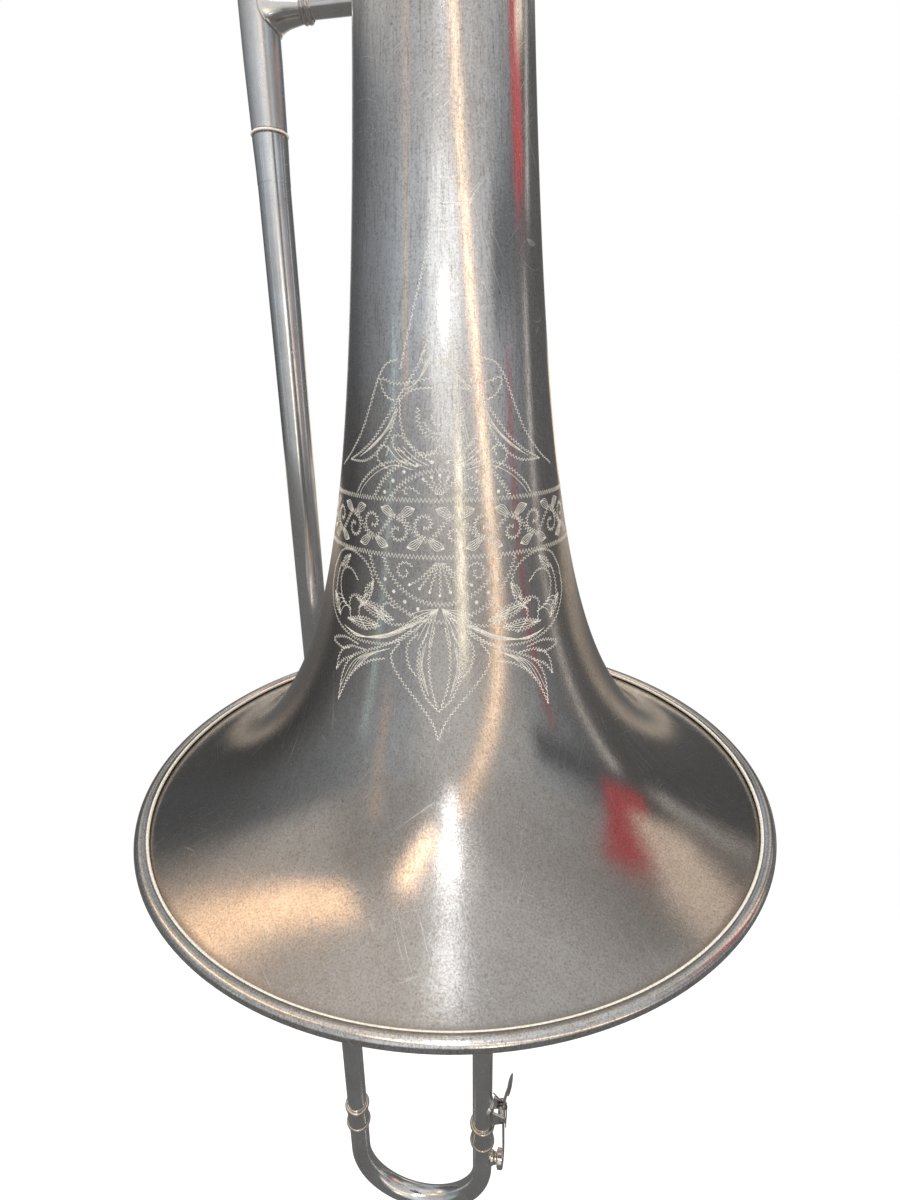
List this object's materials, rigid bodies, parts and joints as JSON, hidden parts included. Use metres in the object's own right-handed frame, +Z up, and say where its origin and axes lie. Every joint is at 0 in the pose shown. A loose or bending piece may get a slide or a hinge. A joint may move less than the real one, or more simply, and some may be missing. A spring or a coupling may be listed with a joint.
{
  "type": "slide trombone",
  "caption": "Tenor slide trombone standing bell down: engraved silver-plated bell, tuning slide, hand slide with braces and water key, and mouthpiece.",
  "frame": {"origin": "centre of the round foot under the hand slide's bow, the lowest point with the slide closed", "axes": "+Z up along the hand slide, from the bow to the tuning slide; the two slide tubes lie in the XZ plane, the mouthpiece side towards -X; the bell hangs mouth down on the -Y side of the +X tube"},
  "size_m": [0.1924, 0.2114, 1.1293],
  "materials": {
    "silver_plate": "tarnished silver plate on brass, fine brush lines and scratches",
    "nickel_silver": "bright drawn nickel silver slide tube",
    "brass": "bare drawn brass",
    "steel": "blued spring steel",
    "cork": "compressed cork"
  },
  "bodies": {
    "bell_section": {"bell": "silver_plate", "bell_rim_wire": "brass", "bell_stem_ferrule": "silver_plate", "bell_tuning_sleeve": "silver_plate", "neck_stem_ferrule": "silver_plate", "neck_tuning_sleeve": "silver_plate", "neckpipe": "silver_plate", "slide_receiver": "silver_plate", "front_brace_foot_neck": "silver_plate", "front_brace_foot_bell": "silver_plate", "front_brace_rod": "silver_plate", "rear_brace_foot_neck": "silver_plate", "rear_brace_foot_bell": "silver_plate", "rear_brace_rod": "silver_plate"},
    "tuning_slide": {"tuning_crook": "silver_plate", "tuning_leg_bell": "nickel_silver", "tuning_leg_neck": "nickel_silver", "tuning_ferrule_bell": "silver_plate", "tuning_ferrule_neck": "silver_plate", "tuning_brace_foot_neck": "silver_plate", "tuning_brace_foot_bell": "silver_plate", "tuning_brace_rod": "silver_plate"},
    "inner_slide": {"slide_tenon": "silver_plate", "inner_tube_neck": "nickel_silver", "inner_tube_mouth": "nickel_silver", "cork_barrel_neck": "silver_plate", "cork_barrel_mouth": "silver_plate", "barrel_cork_neck": "cork", "barrel_cork_mouth": "cork", "mouthpiece_receiver": "silver_plate", "leadpipe": "brass", "inner_brace_foot_neck": "silver_plate", "inner_brace_foot_mouth": "silver_plate", "inner_brace_rod": "silver_plate"},
    "outer_slide": {"outer_tube_neck": "silver_plate", "outer_tube_mouth": "silver_plate", "grip_sleeve_neck": "silver_plate", "grip_sleeve_mouth": "silver_plate", "taper_ferrule_neck": "silver_plate", "taper_ferrule_mouth": "silver_plate", "outer_brace_foot_neck": "silver_plate", "outer_brace_foot_mouth": "silver_plate", "outer_brace_rod": "silver_plate", "bow_ferrule_neck": "silver_plate", "bow_ferrule_mouth": "silver_plate", "slide_bow": "silver_plate", "bow_tip": "silver_plate", "water_nipple": "silver_plate", "water_key_saddle": "silver_plate", "water_key_screw": "steel", "water_key_spring": "steel"},
    "water_key": {"water_key_lever": "silver_plate", "water_key_pad": "cork"},
    "mouthpiece": {"mouthpiece": "silver_plate"}
  },
  "joints": [
    {"name": "tuning_pull", "type": "slide", "parent": "bell_section", "child": "tuning_slide", "axis": [0, 0, 1], "range_m": [0, 0.04]},
    {"name": "slide_swivel", "type": "hinge", "parent": "bell_section", "child": "inner_slide", "pos_m": [0.042, 0, 0.786], "axis": [0, 0, 1], "range_deg": [-90, 24]},
    {"name": "hand_slide", "type": "slide", "parent": "inner_slide", "child": "outer_slide", "axis": [0, 0, -1], "range_m": [0, 0.57]},
    {"name": "water_key_lift", "type": "hinge", "parent": "outer_slide", "child": "water_key", "pos_m": [0.0545, 0, 0.112], "axis": [0, -1, 0], "range_deg": [0, 14], "stiffness_Nm_per_rad": 0.05, "springref_deg": -28.65, "deforming": ["water_key_spring"]},
    {"name": "mouthpiece_lift", "type": "slide", "parent": "inner_slide", "child": "mouthpiece", "axis": [0, 0, 1], "range_m": [0, 0.03]}
  ]
}
